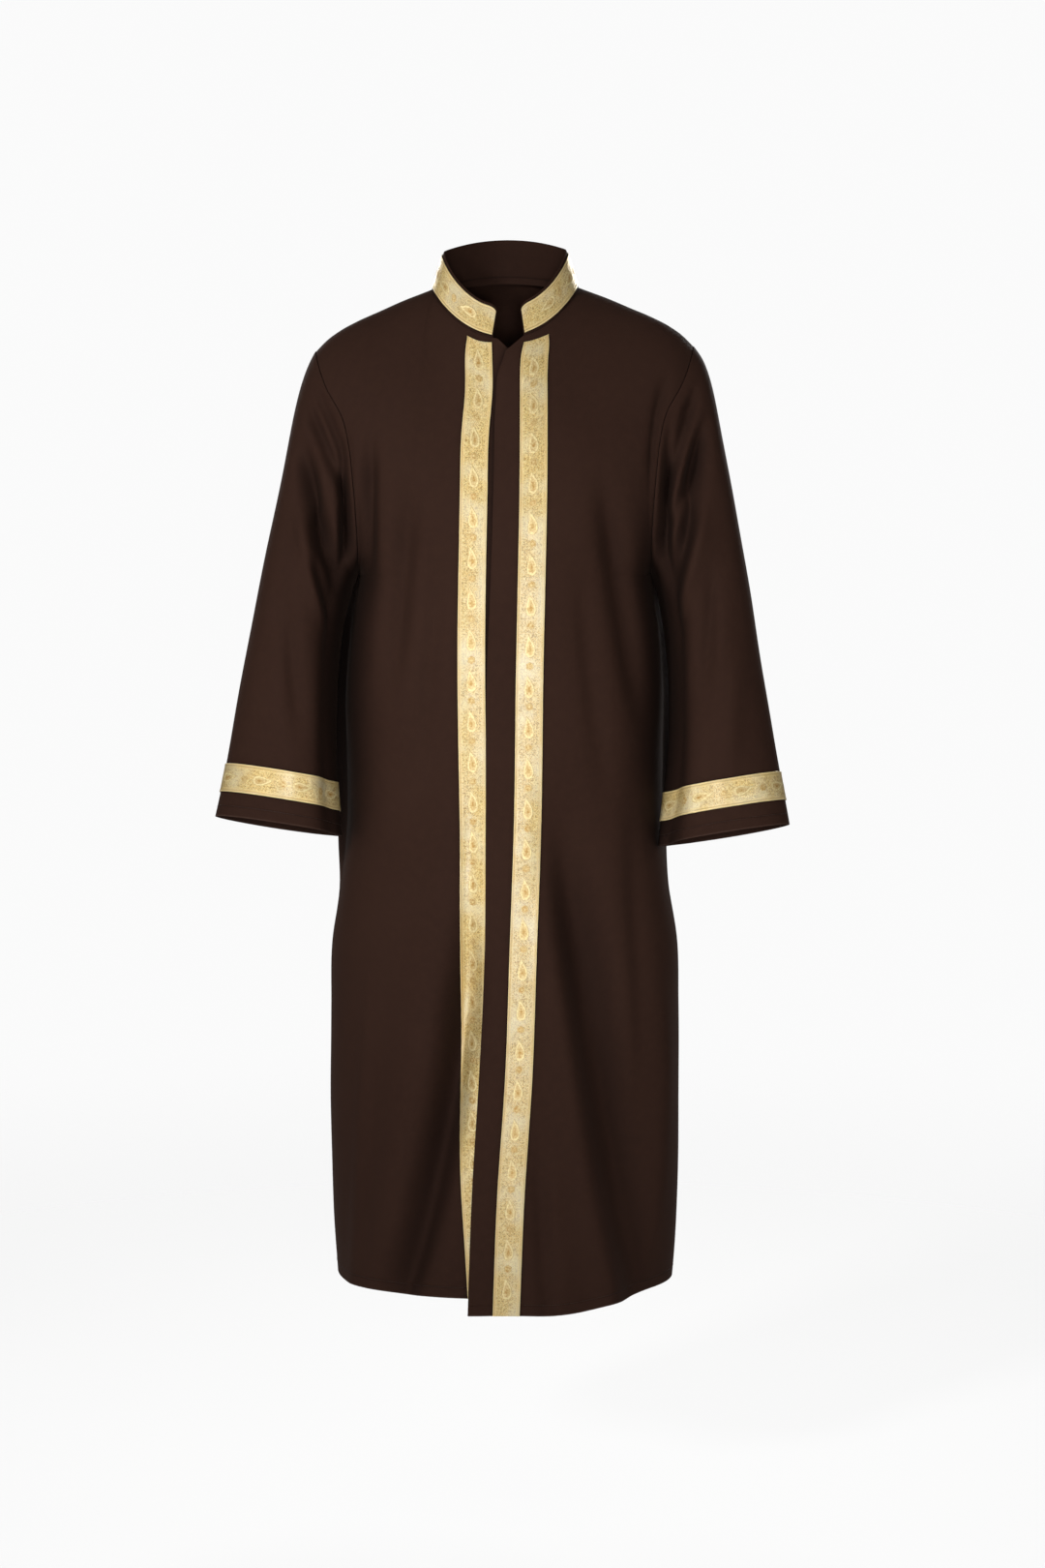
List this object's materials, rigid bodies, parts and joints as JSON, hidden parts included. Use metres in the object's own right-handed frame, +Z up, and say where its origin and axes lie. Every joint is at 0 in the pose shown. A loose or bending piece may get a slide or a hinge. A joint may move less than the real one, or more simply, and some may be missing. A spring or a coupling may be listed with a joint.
{
  "type": "bisht cloak, an open-front sleeved long robe with a stand collar",
  "caption": "Open-front long robe in dark brown cloth with a stand collar, set-in sleeves and gold paisley ribbons, in its hollow worn form.",
  "frame": {"origin": "middle of the neck base, level with the side neck points, where the wearer's neck and shoulders hold the robe up", "axes": "+Z up, -Y the robe's front, +X the wearer's left"},
  "size_m": [0.6943, 0.3147, 1.288],
  "materials": {
    "robe_cloth": "fine dark brown twill with a soft sheen",
    "gold_ribbon": "woven gold ribbon with a paisley figure, metallic sheen"
  },
  "bodies": {
    "root": {"back": "robe_cloth", "front_left": "robe_cloth", "front_right": "robe_cloth", "sleeve_left": "robe_cloth", "sleeve_right": "robe_cloth", "collar": "robe_cloth", "trim_collar": "gold_ribbon", "trim_front_left": "gold_ribbon", "trim_front_right": "gold_ribbon", "trim_cuff_left": "gold_ribbon", "trim_cuff_right": "gold_ribbon"}
  },
  "joints": []
}
